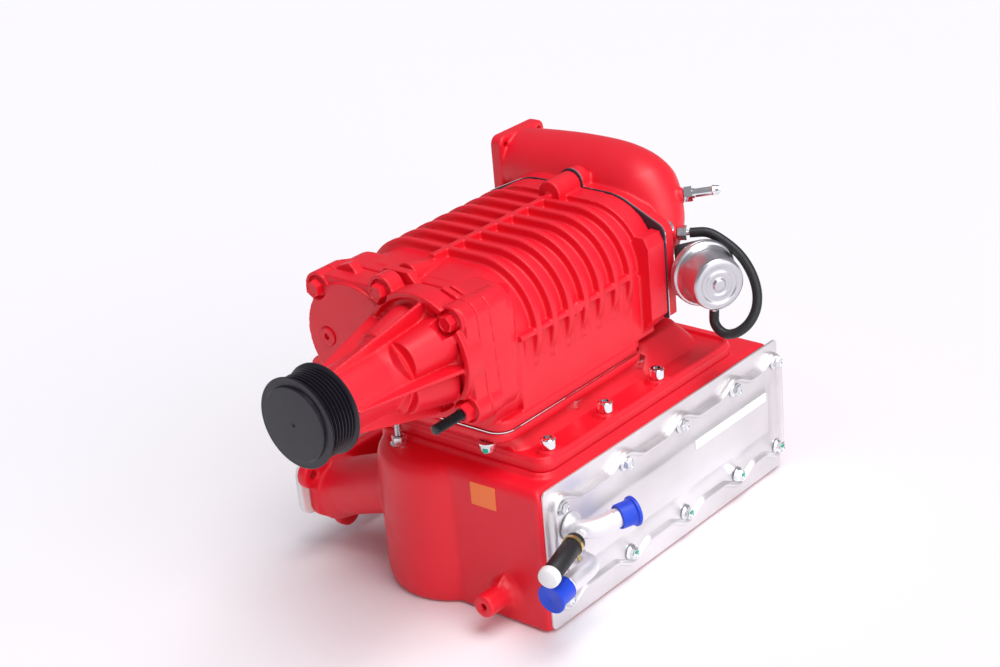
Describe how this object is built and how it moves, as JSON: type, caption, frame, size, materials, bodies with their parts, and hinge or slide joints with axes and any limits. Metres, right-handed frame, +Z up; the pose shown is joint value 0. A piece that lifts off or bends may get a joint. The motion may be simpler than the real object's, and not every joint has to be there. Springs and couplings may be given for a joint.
{
  "type": "supercharger",
  "caption": "Twin-rotor supercharger with belt pulley, inlet elbow and vacuum bypass, bolted on an intake manifold that holds a water charge cooler.",
  "frame": {"origin": "on the flat underside of the intake manifold box, below the middle between the two rotors", "axes": "+Z up, +Y along the rotors from the pulley to the inlet elbow, +X towards the side with the coolant pipes and the actuator"},
  "size_m": [0.3247, 0.51, 0.324],
  "materials": {
    "red_paint": "satin",
    "black_paint": "satin",
    "bare_aluminium": "satin",
    "steel": "machined",
    "zinc": "bright plated",
    "black_rubber": "matte",
    "gasket": "matte",
    "blue_plastic": "matte",
    "white_plastic": "matte",
    "dark_steel": "satin",
    "label": "matte"
  },
  "bodies": {
    "housing": {"front_cover": "red_paint", "bearing_plate": "red_paint", "rotor_housing": "red_paint", "rear_gasket": "gasket", "inlet_elbow": "red_paint", "base_gasket": "gasket", "upper_plenum": "red_paint", "cooler_housing": "red_paint", "port_cover": "white_plastic", "cooler_core": "bare_aluminium", "header_plate": "bare_aluminium", "cooler_cover": "bare_aluminium", "blank_label": "label", "coolant_outlet_pipe": "bare_aluminium", "coolant_inlet_pipe": "bare_aluminium", "outlet_cap": "blue_plastic", "inlet_cap": "blue_plastic", "bleed_sleeve": "black_rubber", "bleed_clamp": "steel", "bleed_plug": "white_plastic", "oil_fill_plug": "red_paint", "hose_barb": "zinc", "vacuum_fitting": "zinc", "vacuum_hose": "black_rubber", "actuator_can": "zinc", "actuator_base": "zinc", "actuator_bracket": "dark_steel", "actuator_spring": "steel", "shaft_seal": "black_rubber", "snout_front_bearing": "steel", "snout_rear_bearing": "steel", "drive_front_bearing": "steel", "driven_front_bearing": "steel", "drive_rear_bearing": "steel", "driven_rear_bearing": "steel", "cover_bolt_right": "red_paint", "cover_bolt_left": "red_paint", "cover_bolt_top": "red_paint", "cover_stud": "black_paint", "cover_stud_nut": "red_paint", "column_stud": "zinc", "lid_bolt_front": "zinc", "lid_bolt_middle": "zinc", "lid_bolt_rear": "zinc"},
    "drive": {"pulley": "black_paint", "input_shaft": "steel", "coupling": "black_rubber", "drive_gear": "steel", "drive_rotor": "bare_aluminium"},
    "driven": {"driven_gear": "steel", "driven_rotor": "bare_aluminium"},
    "actuator_rod_body": {"actuator_rod": "steel", "actuator_diaphragm": "black_rubber"},
    "bypass_valve": {"bypass_lever": "steel", "bypass_shaft": "steel", "bypass_plate": "bare_aluminium"}
  },
  "joints": [
    {"name": "drive_spin", "type": "hinge", "parent": "housing", "child": "drive", "pos_m": [0.0373, 0, 0.243], "axis": [0, 1, 0], "continuous": true},
    {"name": "driven_spin", "type": "hinge", "parent": "housing", "child": "driven", "pos_m": [-0.0373, 0, 0.243], "axis": [0, 1, 0], "continuous": true},
    {"name": "actuator_slide", "type": "slide", "parent": "housing", "child": "actuator_rod_body", "axis": [0.866, -0.5, 0], "range_m": [0, 0.018], "stiffness_N_per_m": 800, "springref_m": -0.004, "deforming": ["actuator_spring"]},
    {"name": "bypass_turn", "type": "hinge", "parent": "housing", "child": "bypass_valve", "pos_m": [0.0384, 0.0837, 0.2123], "axis": [0.5, 0.866, 0], "range_deg": [0, 60]}
  ],
  "couplings": [
    {"joint": "driven_spin", "follows": "drive_spin", "ratio": -1},
    {"joint": "bypass_turn", "follows": "actuator_slide", "rad_per_m": 58.17}
  ]
}
